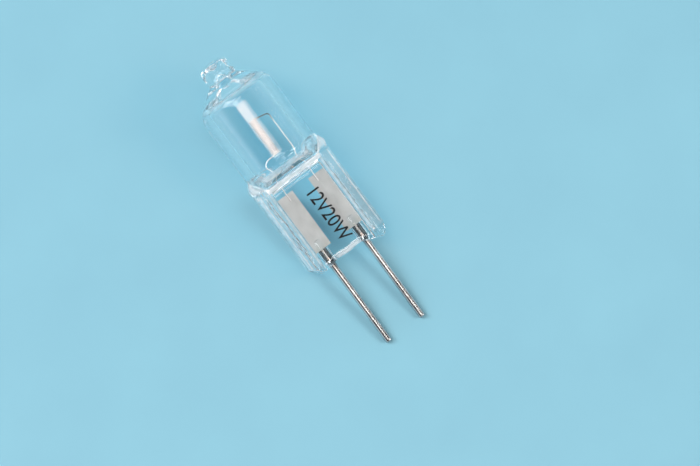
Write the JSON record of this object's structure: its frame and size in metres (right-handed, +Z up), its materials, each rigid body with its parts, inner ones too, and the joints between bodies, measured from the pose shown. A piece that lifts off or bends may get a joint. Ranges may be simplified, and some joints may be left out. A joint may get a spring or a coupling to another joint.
{
  "type": "halogen capsule bulb",
  "caption": "Clear quartz halogen capsule lamp with an axial coil filament, foils sealed in a flat pinch and bare straight pins, lying at rest.",
  "frame": {"origin": "On the surface that the bulb lies on, below the middle of its bounding box.", "axes": "+X runs along the bulb towards the pin tips, +Y across the pins, +Z up. The bulb rests on its pin tips and on its shoulder, so its own axis rises by 10.155 degrees towards the dome."},
  "size_m": [0.0312, 0.009, 0.009],
  "materials": {
    "quartz": "clear fused quartz, fire-polished",
    "tungsten": "drawn tungsten wire, pale grey",
    "foil": "matte light grey molybdenum foil",
    "pin": "drawn pin wire, slightly dull silver"
  },
  "bodies": {
    "root": {"quartz_envelope": "quartz", "filament": "tungsten", "left_foil": "foil", "right_foil": "foil", "left_pin": "pin", "right_pin": "pin"}
  },
  "joints": []
}
